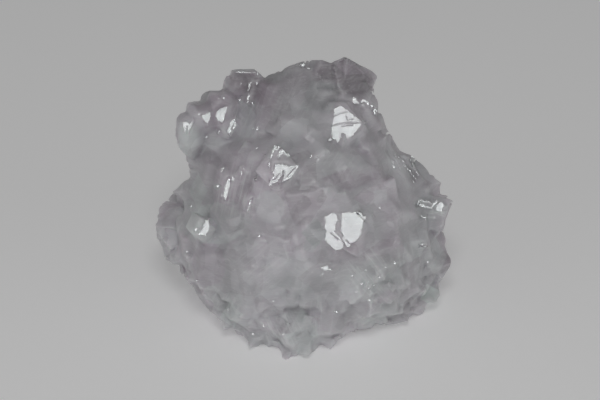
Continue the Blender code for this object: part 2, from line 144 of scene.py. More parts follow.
# The flat faces that mirror the key light.
FACES = {
    "upper": [
        (340, 105), (345, 108), (350, 112), (355, 116.5), (361.5, 121.5), (361, 125), (358, 130),
        (354, 134.5), (348, 138.5), (346.5, 140), (345.5, 134.5), (343, 133), (340.5, 134),
        (341.5, 138), (339, 141.5), (337.5, 144), (335.5, 139.5), (332, 139), (331.6, 127),
        (333.5, 119), (334, 109),
    ],
    "upper_chip": [(328.5, 139), (330, 138), (332.6, 140.5), (331.5, 142), (328.5, 141)],
    "middle": [
        (275, 164), (284, 164.5), (290, 166.5), (298, 165), (298.5, 167), (294, 174), (289, 179),
        (282, 183), (283, 178), (284, 173), (281, 178), (278, 182), (273, 184.5), (269, 187),
        (268.3, 184.5), (271, 178), (274, 175.5), (273, 172), (274.5, 168),
    ],
    "middle_left_limb": [
        (278.5, 138.5), (276.5, 142), (277, 147), (274.5, 151), (272.5, 155), (271, 159.5),
        (269.8, 158), (271, 154), (273, 150), (274, 146), (275.5, 142),
    ],
    "middle_right_limb": [(280, 142), (282.8, 145), (280, 147), (278, 150), (276, 149.5), (278, 146)],
    "middle_corner": [(270.3, 160.5), (269.7, 164), (271, 168.3), (269, 167), (268, 164.5)],
    "middle_arch": [
        (279, 151), (282, 149.8), (286, 150.5), (289, 153), (291.5, 157), (286.5, 157.3),
        (285.5, 153.8), (282.5, 153.3), (281, 155), (279.8, 158), (278, 157.5),
    ],
    "lower_right": [
        (341, 213.5), (346, 212.6), (352, 212.3), (359.5, 211.6), (365.6, 217.8), (363.5, 222),
        (362, 226), (360.5, 230), (361.2, 234), (357, 240), (352, 243.5), (349, 247), (346, 246.5),
        (344.5, 243), (342, 239), (343.5, 235), (341, 231.5), (341, 225), (341.6, 220),
    ],
    "lower_left": [
        (330, 213), (333, 212.2), (337, 214.5), (337.5, 217), (340, 220.5), (337.2, 220.8),
        (336.2, 224), (336, 230), (334.5, 231), (337, 234.5), (341.5, 239.5), (343.2, 244),
        (343.7, 248), (341, 249.5), (335.5, 250.2), (331, 247), (328, 242.5), (325, 240),
        (325.5, 234), (326.3, 231.5), (324.5, 228), (325, 225), (327.3, 222.5), (325.7, 220),
        (325, 217), (328, 215.5),
    ],
    "left": [
        (208, 219.3), (209.2, 223), (208.5, 230), (205.5, 236.3), (203.5, 234.6), (196.3, 235),
        (199, 231.5), (202.5, 226), (205, 221.5),
    ],
    "left_chip": [(196.5, 227), (198.3, 228), (197.5, 230.5), (195.3, 232.5), (194.3, 230)],
    "comb_1": [
        (182, 123), (186, 121.8), (188, 121.5), (190, 124), (193.7, 119), (191.3, 127),
        (189, 131.7), (187, 127), (186, 129), (184.5, 132.6), (183.5, 128.5), (182.5, 126),
    ],
    "comb_2": [(201, 115.2), (206, 113.3), (211.2, 112.3), (210, 117.5), (207.6, 125), (204, 120)],
    "comb_3": [
        (216.5, 111.5), (221, 108), (227.3, 106.2), (226, 112), (222.7, 123), (219.3, 121.5),
        (215.3, 116.5),
    ],
    "comb_4": [
        (236, 117.5), (234.5, 122), (231.7, 126), (230.2, 135.7), (227, 132.3), (229, 126),
        (230, 123), (233, 120),
    ],
    "comb_4_side": [(237, 119), (235.5, 126), (233.4, 130), (232.6, 127), (235, 122)],
    "comb_chip_1": [(197, 113.8), (200, 112.8), (199.8, 115.2), (198, 115.4)],
    "comb_chip_2": [(222.7, 98.6), (223.8, 96.8), (225, 97.2), (223.8, 99.2)],
    "comb_chip_3": [(218.6, 98), (220.6, 97.7), (220.8, 98.9), (218.8, 98.9)],
    "comb_chip_4": [(238.5, 101.5), (239.6, 99.5), (241.2, 96.3), (240.9, 101.5)],
    "comb_chip_5": [(218, 133.3), (219.2, 130.4), (220, 130.8), (218.8, 133.5)],
    "comb_chip_6": [(206, 136), (207.6, 136.6), (206.8, 138.2), (205.8, 137.6)],
    "top_streak_1": [(246.2, 103.5), (248.2, 94), (249.6, 90.5), (249.3, 97), (247.4, 104)],
    "top_streak_2": [(252, 102.4), (253.3, 102.6), (253, 105), (252, 104.8)],
    "top_streak_3": [(240.4, 82), (241.4, 82), (241, 86), (240.2, 86)],
    "top_streak_4": [(247.3, 91), (249.5, 84), (251.5, 79.5), (250.4, 86), (248.5, 91)],
    "top_streak_5": [(255, 81), (256.4, 80.6), (257.2, 85), (255.8, 85.4)],
    "top_edge": [(236, 71.8), (250, 71.6), (256, 72), (256, 72.8), (236, 72.9)],
    "top_corner": [(256.8, 72.4), (257.8, 72.6), (258, 76.4), (257, 76.2)],
    "top_slit_1": [(256.3, 131.3), (257.4, 127.5), (258.9, 126.3), (258.2, 130), (257.2, 131.8)],
    "top_slit_2": [(252.6, 129), (253.4, 127), (254, 127.4), (253.5, 129.4)],
    "streak_1": [
        (229, 177.8), (230, 179), (229.3, 186), (228, 194), (225.6, 200.6), (223.4, 198),
        (223.8, 191), (226, 183),
    ],
    "streak_2": [(233, 175.3), (234.7, 177.8), (233.4, 181), (231.8, 180.2), (231.8, 178)],
    "streak_3": [(243.5, 165.4), (242.6, 172), (241, 177), (241, 173)],
    "streak_4": [(252, 198), (250.7, 204.5), (248, 212), (247.3, 210.5), (249.3, 202.5)],
    "streak_5": [(222, 168), (224, 167.6), (222.6, 171.5), (221.2, 171.8)],
    "streak_6": [(222, 193), (223, 193), (222.6, 198), (221.6, 197.6)],
    "middle_slit_1": [(310.6, 154.7), (311.9, 155), (312, 158), (310.7, 158)],
    "middle_slit_2": [(316.9, 156.3), (318.2, 157), (318.8, 159.7), (317.4, 159.7)],
    "middle_slit_3": [(254.9, 180.3), (255, 177.5), (256, 177.3), (256.2, 180.3)],
    "belly_chip": [
        (320, 266.8), (323.5, 266.2), (327.5, 266.2), (331.3, 270), (326, 270.5), (323, 269.2),
    ],
    "arc_1": [(352.5, 98), (354, 97.5), (358.7, 101.5), (358.2, 104), (355, 103.5), (352.8, 101.5)],
    "arc_2": [
        (361, 101.2), (363, 99.4), (365.7, 99.7), (369.2, 103.5), (368.6, 105), (366, 103),
        (363, 101.9), (361, 102.5),
    ],
    "arc_3": [(370.1, 103.4), (373.1, 105.6), (371.6, 108), (370, 106.5)],
    "arc_4": [(373.5, 107.4), (376.2, 109.5), (375.7, 114), (374.4, 114), (373.4, 111)],
    "arc_5": [(360.6, 104.1), (364.6, 105.4), (363.6, 106), (360.8, 105.2)],
    "crown_top": [(300, 64), (303, 63), (306, 64.3), (305, 66), (301.5, 66)],
    "crown_side": [(306.5, 67), (310, 68.2), (309.3, 69.4), (306.5, 68.4)],
    "crown_chip": [(319.4, 76), (321.3, 76.6), (321, 78.6), (319.4, 78)],
    "right_chip": [(379.3, 206.4), (380.8, 206.9), (380.8, 208.8), (379.5, 208.2)],
    "upper_dot": [(364, 121.8), (365.4, 122.6), (364.9, 124), (363.9, 123.6)],
    "slope_rim": [(410.6, 155.4), (412.6, 155.8), (416, 159.2), (415.2, 159.8), (412, 157.4)],
    "edge_stripe_1": [
        (416.4, 204.4), (420.4, 199.4), (432, 203), (431.6, 204.2), (421, 201.2), (417.6, 205),
    ],
    "edge_stripe_2": [
        (418, 205.6), (420.6, 203.6), (430.4, 207.6), (436.4, 200.2), (437.6, 201), (431, 209.2),
    ],
    "edge_patch": [(437, 205), (441.6, 201.6), (444, 206), (441, 212), (436, 210)],
    "edge_stripe_3": [(421, 215.6), (426, 217.6), (425.6, 218.8), (420.6, 217)],
    "edge_stripe_4": [(419.6, 244.6), (426.4, 246.6), (426, 248), (419.8, 246.2)],
    "edge_dot": [(433.4, 216.6), (435, 216.4), (435.4, 218.4), (433.8, 218.6)],
}
# Fine cracks and growth lines in those faces, each a line of places with its width in steps.
CRACKS = {
    "upper_line_1": (1.1, [(334, 115.8), (341, 112.8), (350, 111)]),
    "upper_line_2": (1.0, [(332, 125.8), (340, 123.8), (350, 122.4), (362, 122.6)]),
    "upper_line_3": (0.7, [(342, 126.4), (348, 125), (353, 125)]),
    "upper_line_4": (0.6, [(346.5, 116), (347, 120), (353, 119)]),
    "middle_crack": (1.2, [(283.5, 171), (283, 176), (280.5, 180.5), (279, 184)]),
    "middle_line": (0.8, [(270, 180), (275, 179), (279, 174)]),
    "lower_line_1": (0.8, [(356.5, 212.8), (363.6, 219.6)]),
    "lower_line_3": (0.6, [(346, 240), (350, 243.6)]),
    "lower_line_4": (0.8, [(331, 233), (338, 239.4)]),
    "lower_gap": (1.2, [(337.6, 216), (339.4, 220.6)]),
    "left_line": (0.8, [(198, 232.6), (203, 227)]),
    "middle_line_2": (0.5, [(287, 176.6), (291, 172), (295.6, 167.4)]),
    "comb_left": (1.2, [(181.4, 121), (182.2, 127), (184, 133.6)]),
    "comb_top": (1.1, [(185.4, 119.6), (189.6, 122.6), (193, 117.6)]),
    "comb_right": (1.2, [(195, 119), (192.6, 127), (189.8, 133.4)]),
    "comb_notch": (0.9, [(187, 126.6), (186.9, 129.6), (186.9, 133)]),
    "cap_line": (0.8, [(341, 62), (352, 66.5), (362, 72), (371, 79)]),
}
# Faces that share one plane.
SHARED = (
    ("upper", "upper_chip"),
    ("middle", "middle_left_limb", "middle_right_limb", "middle_corner", "middle_arch"),
    ("lower_right", "lower_left"),
    ("left", "left_chip"),
    ("comb_4", "comb_4_side"),
)
# Tiny flat faces that mirror the key light: middle and half size.
SPARKLES = [
    (322, 274.6, 1.2), (380, 277.6, 1.1), (366, 271, 0.9), (369, 288, 0.8), (369, 300, 0.8),
    (422, 244, 1.2), (336, 311.6, 0.9), (362, 284, 0.8), (374, 285, 0.9), (385, 267, 1.0),
    (395, 263, 0.9), (353, 276, 0.8), (356, 292, 0.8), (187, 252, 0.9), (197, 281, 0.9),
    (228, 309, 0.9), (283.5, 334, 0.9), (264, 326, 0.8), (253, 334, 0.8), (273, 301, 0.9),
    (259, 236, 0.8), (262, 233.4, 0.7), (191, 206.4, 0.8), (257, 148, 0.8), (263, 152, 0.7),
    (428, 262, 0.8), (218, 186, 1.4),
]
DASHES = [
    (395, 155), (398.7, 157), (392.6, 162), (396.2, 160.6), (398.4, 164.2), (393.8, 166.8),
    (405, 166.3), (407.5, 169.2), (410.8, 161), (412.2, 163.6), (410, 171.7), (411.4, 174.4),
    (413.7, 166.7), (415, 169.4), (416.7, 172), (418, 174.4), (413.8, 176.4), (415.6, 178.4),
    (413.2, 181.4), (402.6, 161.4), (400, 168.6),
]
# Flat faces that look another way than the key light, and how far they may move the skin, in
# millimetres, where that is not the usual distance.
FACET_MOST = {"block_front": 1.0, "crown_ledge": 0.8, "centre_low": 0.2}
FACETS = {
    "crown_ledge": [(318, 69), (334, 70), (337, 80), (334, 89), (318, 88)],
    "nail_right": [
        (209.6, 218), (215, 203), (226, 200), (240, 206), (250, 217), (240, 227), (228, 236),
        (213, 238),
    ],
    "nail_left": [
        (171, 216), (178, 202), (192, 198), (207, 206), (207.4, 217), (197, 223.6), (192, 234),
        (180, 238), (173, 230),
    ],
    "dark_triangle": [(353, 199), (368, 188), (375, 187), (375, 203), (366, 203.4)],
    "pale_triangle": [(375.4, 187), (388, 197), (376, 204)],
    "leaf": [(275, 190), (283, 200), (285, 215), (270, 219), (256, 216), (258, 205), (266, 194)],
    "belly_top": [(230, 243), (252, 236), (290, 238), (292, 252), (270, 258), (240, 256)],
    "block_front": [
        (334, 67), (345, 58), (360, 66), (376, 75), (373, 86), (364, 91), (350, 93), (337, 86),
    ],
    "centre": [(303, 160), (330, 152), (352, 150), (352, 180), (330, 186), (300, 188)],
    "centre_low": [(288, 192), (330, 189), (350, 200), (346, 210), (322, 211), (288, 226)],
    "right_of_centre": [(366, 206), (390, 202), (402, 222), (392, 246), (370, 244), (368, 222)],
}


# Crystals of another tone, and painted shade where the crown, the top blocks and the thin margins send
# back less light, as the camera sees them: middle, half width and half height in view steps, roll in
# degrees, tone, how strong it is and how soft its edge is.
ZONES = {
    "left_rosy": ((236, 176), (60, 44), 0, "pink", 0.6, 0.5),
    "band": ((236, 147), (52, 9), 18, "rose", 0.35, 0.25),
    "upper_left_rosy": ((232, 108), (50, 30), 0, "pink", 0.6, 0.5),
    "lobe_edge": ((188, 140), (15, 22), 0, "white", 0.6, 0.4),
    "lens": ((208, 264), (19, 23), -10, "pink", 0.4, 0.05),
    "left_head": ((210, 220), (40, 21), -8, "white", 0.42, 0.05),
    "leaf": ((271, 205), (15, 17), 20, "milk", 0.6, 0.12),
    "belly": ((260, 268), (36, 30), -6, "milk", 0.3, 0.06),
    "round_spot": ((312, 243), (7, 8), 0, "milk", 0.7, 0.2),
    # painted shade: the crown is darkened because it sends back less light than the lower part
    "crown": ((300, 86), (64, 46), 0, "dusk", 0.6, 0.7),
    "crown_milk": ((300, 104), (30, 24), 20, "milk", 0.3, 0.5),
    # painted shade: darkens the left of the crown with the darker rose tone
    "crown_dark": ((266, 92), (17, 22), 0, "rose", 0.6, 0.5),
    # painted shade: the top blocks are darkened for the same reason
    "top_block": ((347, 76), (36, 22), -12, "dusk", 0.75, 0.25),
    "top_left_block": ((246, 80), (18, 13), 0, "dusk", 0.6, 0.35),
    # painted shade: the thin left margin is darkened where little light comes back through it
    "left_margin": ((168, 196), (20, 14), 35, "dusk", 0.7, 0.12),
    "edge_block": ((432, 207), (22, 13), -6, "clear", 0.3, 0.10),
    "edge_lower": ((430, 255), (26, 60), 0, "clear", 0.35, 0.4),
    # painted shade: the thin right margin is darkened where little light comes back through it
    "right_margin": ((447, 263), (8, 15), 0, "dusk", 0.6, 0.3),
    "right_slope": ((404, 166), (28, 20), -35, "milk", 0.75, 0.5),
    "low_right": ((374, 276), (48, 28), 12, "white", 0.6, 0.5),
    "low_left": ((232, 318), (40, 30), 0, "clear", 0.35, 0.5),
    "low_centre": ((292, 300), (66, 32), 0, "clear", 0.3, 0.5),
    "crown_pale": ((327, 86), (13, 10), 20, "milk", 0.5, 0.3),
    "bottom": ((296, 333), (24, 27), 0, "clear", 0.4, 0.15),
    "low_rim": ((262, 340), (34, 13), 14, "clear", 0.6, 0.4),
    "bottom_right": ((392, 312), (46, 18), 15, "white", 0.55, 0.5),
}
# The same for crystals with four straight sides, and for painted shade and painted light of that shape.
DIAMONDS = {
    "nail_left": ((190, 219), (21, 24), 12, "white", 0.35, 0.04),
    "nail_right": ((230, 219), (24, 22), -4, "milk", 0.4, 0.04),
    "pale_wall": ((199, 190), (10, 19), 0, "white", 0.6, 0.08),
    "trapezoid": ((218, 186), (5, 4), 0, "white", 0.6, 0.05),
    # painted shade: darkens the hollow of the dark triangle
    "dark_triangle": ((366, 196), (13, 9), 8, "rose", 0.4, 0.05),
    "pale_triangle": ((381, 196), (9, 10), -40, "milk", 0.7, 0.05),
    "rose_arch": ((350, 178), (30, 12), 0, "rose", 0.5, 0.15),
    "rose_column": ((294, 232), (10, 28), -8, "rose", 0.3, 0.12),
    "clear_slab": ((244, 118), (26, 24), 30, "milk", 0.5, 0.10),
    "clear_gap": ((316, 232), (14, 16), 0, "clear", 0.5, 0.15),
    "milk_wedge": ((356, 166), (8, 14), 0, "milk", 0.4, 0.06),
    "crown_slab": ((322, 96), (26, 20), 30, "clear", 0.35, 0.08),
    # painted shade: darkens the front of the top block
    "block_front": ((356, 82), (24, 13), -24, "dusk", 0.45, 0.05),
    "block_cap": ((349, 66), (18, 9), -20, "pink", 0.4, 0.05),
    # painted light: lightens the lower right block, which lies in shade
    "right_block": ((431, 294), (12, 13), 20, "bright", 0.75, 0.10),
    "low_left_block": ((232, 315), (13, 13), 10, "white", 0.5, 0.06),
    "bottom_block": ((303, 334), (17, 28), 0, "white", 0.35, 0.06),
    "low_slab_1": ((268, 318), (22, 20), 20, "milk", 0.5, 0.05),
    "low_slab_2": ((344, 300), (24, 18), -25, "milk", 0.5, 0.05),
    "edge_pale": ((436, 256), (13, 22), 0, "white", 0.4, 0.06),
}
TONES = {
    "milk": (0.73, 0.725, 0.75, 1),
    "pink": (0.655, 0.585, 0.655, 1),
    # a darker rose, partly the stone's own tone and partly painted shade on the crown and in the hollow of
    # the dark triangle
    "rose": (0.51, 0.45, 0.505, 1),
    "white": (0.78, 0.82, 0.81, 1),
    # painted light, not a tone of the stone: lightens the lower right block where it lies in shade
    "bright": (0.86, 0.92, 0.90, 1),
    "clear": (0.53, 0.56, 0.56, 1),
    # painted shade, not a tone of the stone: darkens the crown, the top blocks and the thin margins
    "dusk": (0.385, 0.355, 0.385, 1),
}
ZONE_DEPTH = 8.0  # how far a tone reaches towards and away from the camera, in millimetres

# Fine growth lines: middle, half width and half height in view steps, roll in degrees, how strong
# they are, and how many there are.
GROWTH_LINES = {
    "left_face": ((238, 192), (34, 38), -13, 0.5, 13),
    "band": ((250, 145), (40, 12), -74, 0.3, 4),
    "right_slope": ((402, 166), (24, 26), 24, 0.5, 7),
    "edge_block": ((432, 208), (10, 22), 80, 0.8, 3),
    "centre": ((345, 160), (26, 22), -34, 0.35, 7),
    "belly": ((262, 264), (32, 32), -50, 0.3, 8),
    "low_right": ((374, 272), (30, 30), 40, 0.6, 7),
    "crown": ((304, 100), (44, 32), -24, 0.2, 9),
    "clear_slab": ((244, 116), (24, 26), -20, 0.4, 8),
    "low_middle": ((318, 312), (8, 26), 0, 0.5, 3),
    "low_edge": ((410, 262), (26, 34), 12, 0.4, 7),
    "low_left": ((226, 302), (30, 24), -32, 0.5, 6),
    "bottom": ((284, 328), (26, 24), 24, 0.5, 6),
    "bottom_right": ((376, 310), (30, 18), 50, 0.5, 6),
}


def new_object(name, data):
    made = bpy.data.objects.new(name, data)
    bpy.context.scene.collection.objects.link(made)
    return made


# Crystal shapes, in millimetres

def corner_up():
    """The turn that stands a cube on a corner, with one upper face towards the front."""
    stand = Vector((1, 1, 1)).rotation_difference(Vector((0, 0, 1))).to_matrix()
    return Matrix.Rotation(math.radians(45), 3, "Z") @ stand


def axis_turn(aim, twist):
    """The turn that points a crystal's axis along a vector."""
    toward = Vector((0, 0, 1)).rotation_difference(aim).to_matrix()
    return toward @ Matrix.Rotation(math.radians(twist), 3, "Z")


def face_turn(normal, roll, flatness):
    """The turn that points an upper face along the normal, with its tip rolled about it."""
    lay = Matrix.Rotation(-math.atan(math.sqrt(2) * flatness), 3, "X")
    return axis_turn(normal, roll) @ lay


def add_rhombohedron(bm, tip, turn, edge, flatness):
    """A cube on its corner, pressed flat along the crystal's axis, turned and put in place."""
    made = bmesh.ops.create_cube(bm, size=edge)["verts"]
    shape = (turn @ Matrix.Diagonal((1, 1, flatness)) @ corner_up()).to_4x4()
    middle = tip - turn @ Vector((0, 0, edge * flatness * math.sqrt(3) / 2))
    bmesh.ops.transform(bm, matrix=Matrix.Translation(middle) @ shape, verts=made)


def cad_solid():
    """A copy of the modelled solid, in millimetres."""
    bm = bmesh.new()
    bm.from_mesh(bpy.data.objects[NODE].data)
    bmesh.ops.scale(bm, vec=(1 / MM,) * 3, verts=bm.verts)
    bm.normal_update()
    return bm


def spread_ways(count, low, high, chance):
    """Evenly spread directions from the heart, between two heights of a unit direction."""
    golden = math.pi * (3 - math.sqrt(5))
    for i in range(count):
        z = low + (high - low) * (i + 0.5) / count
        a = i * golden + chance.uniform(-0.1, 0.1)
        r = math.sqrt(max(0.0, 1 - z * z))
        yield Vector((math.cos(a) * r, math.sin(a) * r, z))


def add_plates(bm, tree, chance, count):
    """Thin growth plates that lie on the faces and look the same way as them."""
    for way in spread_ways(count, -0.75, 1.0, chance):
        place, normal, _, _ = tree.ray_cast(HEART + way * 100, -way)
        if place is None or normal.z < -0.9:
            continue
        edge = chance.uniform(2.5, 5.0)
        flatness = chance.uniform(0.55, 0.70)
        turn = face_turn(normal, chance.choice((-88, -88, 32, 150)) + chance.uniform(-8, 8), flatness)
        middle_of_face = Vector((0.0, -edge / math.sqrt(6), edge * flatness / math.sqrt(12)))
        tip_from_face = turn @ (Vector((0, 0, edge * flatness * math.sqrt(3) / 2)) - middle_of_face)
        tip = place + normal * chance.uniform(0.05, 0.14) + tip_from_face
        add_rhombohedron(bm, tip, turn, edge, flatness)


def add_druse(bm, tree, chance, count, low, high, edges, standing):
    """Small crystals that point outward, between two heights of their direction."""
    for way in spread_ways(count, low, high, chance):
        place, normal, _, _ = tree.ray_cast(HEART + way * 100, -way)
        if place is None or place.z < 0.4:
            continue
        aim = normal * 0.5 + way * 0.5 + Vector([chance.uniform(-0.35, 0.35) for _ in range(3)])
        edge = chance.uniform(*edges)
        turn = axis_turn(aim, chance.uniform(0, 120))
        tip = place + normal * chance.uniform(*standing)
        add_rhombohedron(bm, tip, turn, edge, chance.uniform(0.5, 0.75))


def add_lumps(bm):
    """The rounded lumps of the table, each laid square to the line of sight."""
    for place, half, y in LUMPS.values():
        sight = ray(np.array(place))
        middle = EYE + Vector(sight) * ((y - EYE.y) / sight[1])
        made = bmesh.ops.create_icosphere(bm, subdivisions=3, radius=1.0)["verts"]
        across, up = RIGHT * half[0] * VIEW_STEP, ABOVE * half[1] * VIEW_STEP
        shape = Matrix(np.stack([across, AHEAD * LUMP_DEPTH, up], 1).tolist()).to_4x4()
        bmesh.ops.transform(bm, matrix=Matrix.Translation(middle) @ shape, verts=made)


# Skin of the crystals, in millimetres

def mesh_of(bm, name):
    mesh = bpy.data.meshes.new(name)
    bm.to_mesh(mesh)
    bm.free()
    return mesh


def evaluated(obj):
    return bpy.data.meshes.new_from_object(obj.evaluated_get(bpy.context.evaluated_depsgraph_get()))


def points_of(mesh):
    flat = np.empty(len(mesh.vertices) * 3)
    mesh.vertices.foreach_get("co", flat)
    return flat.reshape(-1, 3)


def normals_of(mesh):
    flat = np.empty(len(mesh.vertices) * 3, dtype=np.float32)
    mesh.vertex_normals.foreach_get("vector", flat)
    return flat.reshape(-1, 3).astype(float)


def edges_of(mesh):
    flat = np.empty(len(mesh.edges) * 2, dtype=np.int32)
    mesh.edges.foreach_get("vertices", flat)
    return flat.reshape(-1, 2)


def place_points(mesh, points):
    mesh.vertices.foreach_set("co", points.ravel())
    mesh.update()


def one_skin(source, voxel):
    """The outside of all the overlapping crystals as one fine skin, laid back onto their faces."""
    shapes = new_object("crystal_shapes", source)
    remesh = shapes.modifiers.new("one_skin", "REMESH")
    remesh.mode = "VOXEL"
    remesh.voxel_size = voxel
    skin = new_object("skin", evaluated(shapes))
    shapes.modifiers.clear()
    wrap = skin.modifiers.new("onto_faces", "SHRINKWRAP")
    wrap.target = shapes
    wrap.wrap_method = "NEAREST_SURFACEPOINT"
    mesh = evaluated(skin)
    bpy.data.objects.remove(skin)
    bpy.data.objects.remove(shapes)
    return mesh


def softened(points, edges, amount, rounds):
    """Points drawn towards their neighbours, by an amount from 0 to 1 at each point."""
    count = len(points)
    first, second = edges[:, 0], edges[:, 1]
    neighbours = np.bincount(first, minlength=count) + np.bincount(second, minlength=count)
    points = points.copy()
    for _ in range(rounds):
        for axis in range(3):
            value = points[:, axis]
            total = np.bincount(first, weights=value[second], minlength=count)
            total += np.bincount(second, weights=value[first], minlength=count)
            points[:, axis] = value + 0.5 * amount * (total / neighbours - value)
    return points


def hashed(cell, seed):
    """A repeatable number from 0 to 1 for each whole-number cell."""
    mixed = (
        cell[:, 0].astype(np.int64) * 73856093
        ^ cell[:, 1].astype(np.int64) * 19349663
        ^ cell[:, 2].astype(np.int64) * 83492791
        ^ (seed * 2654435761)
    )
    mixed = (mixed ^ (mixed >> 13)) * 1274126177
    return ((mixed ^ (mixed >> 16)) & 0xFFFFFF) / float(0xFFFFFF)


def cloud(points, size, seed):
    """Smooth noise from 0 to 1 with lumps of that size."""
    q = points / size
    cell = np.floor(q)
    f = q - cell
    f = f * f * (3 - 2 * f)
    total = np.zeros(len(points))
    for corner in range(8):
        step = np.array([corner & 1, corner >> 1 & 1, corner >> 2 & 1])
        weight = np.prod(np.where(step, f, 1 - f), axis=1)
        total += weight * hashed(cell + step, seed)
    return total


def growth_relief(points):
    """How far each point moves along its normal: flat-topped terraces, soft lumps and pits."""
    terraces = np.floor(cloud(points, 1.7, 3) * 6) / 6
    fine = np.floor(cloud(points * (1.0, 2.2, 1.0), 0.9, 5) * 4) / 4
    lumps = cloud(points, 3.5, 8) - 0.5
    return 0.08 * (terraces - 0.5) + 0.02 * (fine - 0.5) + 0.10 * lumps


# Flat faces, as the camera sees them

def view_axes():
    ahead = (TARGET - EYE).normalized()
    right = ahead.cross(Vector((0, 0, 1))).normalized()
    return np.array(right), np.array(right.cross(ahead)), np.array(ahead)


RIGHT, ABOVE, AHEAD = view_axes()
OUTLINE_BINS = 720
# How far the outline is drawn in or out, as a share of its reach: in all, and by its fine part.
MOST_CHANGE, FINE_CHANGE = 0.09, (-0.05, 0.03)
BROAD_START, FINE_START = 0.78, 0.94  # where on the way out from the middle these begin
STEPS_PER_TANGENT = VIEW_WIDTH * LENS / SENSOR


def seen(points):
    """The view steps of points, and how far away they are."""
    offset = points - np.array(EYE)
    far = offset @ AHEAD
    across = VIEW_MIDDLE[0] + STEPS_PER_TANGENT * (offset @ RIGHT) / far
    down = VIEW_MIDDLE[1] - STEPS_PER_TANGENT * (offset @ ABOVE) / far
    return np.stack([across, down], axis=1), far


def ray(place):
    """From the eye through a view step, with one unit of depth."""
    across = (place[..., 0] - VIEW_MIDDLE[0]) / STEPS_PER_TANGENT
    down = (place[..., 1] - VIEW_MIDDLE[1]) / STEPS_PER_TANGENT
    return AHEAD + across[..., None] * RIGHT - down[..., None] * ABOVE


def inside(places, outline):
    """Which places are inside a closed outline."""
    result = np.zeros(len(places), dtype=bool)
    x, y = places[:, 0], places[:, 1]
    for (ax, ay), (bx, by) in zip(outline, np.roll(outline, -1, axis=0)):
        if ay == by:
            continue
        crosses = ((ay > y) != (by > y)) & (x < (bx - ax) * (y - ay) / (by - ay) + ax)
        result ^= crosses
    return result


def distance_to_line(places, line):
    """The shortest distance from each place to a line of places."""
    nearest = np.full(len(places), np.inf)
    for a, b in zip(line[:-1], line[1:]):
        along = b - a
        share = np.clip(((places - a) @ along) / (along @ along), 0, 1)
        nearest = np.minimum(nearest, np.linalg.norm(places - a - share[:, None] * along, axis=1))
    return nearest


def around(places, line, margin=0.0):
    """Which places are in the box around a line of places."""
    low, high = line.min(axis=0) - margin, line.max(axis=0) + margin
    return ((places > low) & (places < high)).all(axis=1)


def outline_size(outline):
    x, y = outline[:, 0], outline[:, 1]
    return math.sqrt(abs(np.dot(x, np.roll(y, -1)) - np.dot(y, np.roll(x, -1))) / 2)


def reach_of_outline(angles):
    """How far the outline reaches from its middle, at each angle."""
    line = np.array(OUTLINE, dtype=float) - OUTLINE_MIDDLE
    reach = np.zeros(len(angles))
    way = np.stack([np.cos(angles), np.sin(angles)], axis=1)
    for a, b in zip(line, np.roll(line, -1, axis=0)):
        along = b - a
        cross = way[:, 0] * along[1] - way[:, 1] * along[0]
        cross = np.where(abs(cross) < 1e-9, 1e-9, cross)
        far = (a[0] * along[1] - a[1] * along[0]) / cross
        share = (a[0] * way[:, 1] - a[1] * way[:, 0]) / cross
        hits = (share >= 0) & (share <= 1) & (far > 0)
        reach = np.where(hits, np.maximum(reach, far), reach)
    return reach


def eased(value, start):
    """0 up to the start, then softly up to 1."""
    share = np.clip((value - start) / (1 - start), 0, 1)
    return share * share * (3 - 2 * share)


def follow_outline(points):
    """Draws the points near the seen outline in or out, until they reach the wanted outline."""
    places, far = seen(points)
    offset = places - OUTLINE_MIDDLE
    reach = np.linalg.norm(offset, axis=1)
    angle = np.arctan2(offset[:, 1], offset[:, 0])
    spot = (angle + math.pi) / (2 * math.pi) * OUTLINE_BINS
    slot = np.minimum(spot.astype(int), OUTLINE_BINS - 1)
    own = np.zeros(OUTLINE_BINS)
    np.maximum.at(own, slot, reach)
    middles = (np.arange(OUTLINE_BINS) + 0.5) / OUTLINE_BINS * 2 * math.pi - math.pi
    ratio = reach_of_outline(middles) / own - 1
    ratio = np.clip(ratio, -MOST_CHANGE, MOST_CHANGE)
    apart = np.arange(-10, 11)
    weights = np.exp(-0.5 * (apart / 4.0) ** 2)
    broad = sum(w * np.roll(ratio, a) for a, w in zip(apart, weights)) / weights.sum()
    fine = np.clip(ratio - broad, *FINE_CHANGE)
    bins = np.arange(OUTLINE_BINS)
    broad, fine, own = (np.interp(spot - 0.5, bins, v, period=OUTLINE_BINS) for v in (broad, fine, own))
    change = broad * eased(reach / own, BROAD_START) + fine * eased(reach / own, FINE_START)
    shift = offset * change[:, None] * (far / STEPS_PER_TANGENT)[:, None]
    z = points[:, 2]
    upright = np.clip(np.minimum((z - 1.0) / 4.0, (49.0 - z) / 2.0), 0, 1)[:, None]
    along_floor = np.array([0.0, 2.0, 0.0])  # looks like one step up, seen from 30 degrees above
    rise = upright * ABOVE + (1 - upright) * along_floor
    return points + shift[:, :1] * RIGHT - shift[:, 1:] * rise


def ragged(places):
    """The places, shifted a little by noise, so that outlines are not smooth."""
    flat = np.column_stack([places, np.zeros(len(places))])
    shift = np.stack([cloud(flat, 1.9, 21), cloud(flat, 1.9, 22)], axis=1) - 0.5
    return places + 1.5 * shift


def sparkle(x, y, half):
    half *= 1.3
    left, top = (x - half, y + 0.3 * half), (x, y - half)
    return [left, top, (x + half, y - 0.2 * half), (x + 0.2 * half, y + half)]


def dash(x, y):
    along, across = np.array([0.5, 0.87]) * 1.5, np.array([0.87, -0.5]) * 0.6
    middle = np.array([x, y])
    return [middle - along, middle + across, middle + along, middle - across]


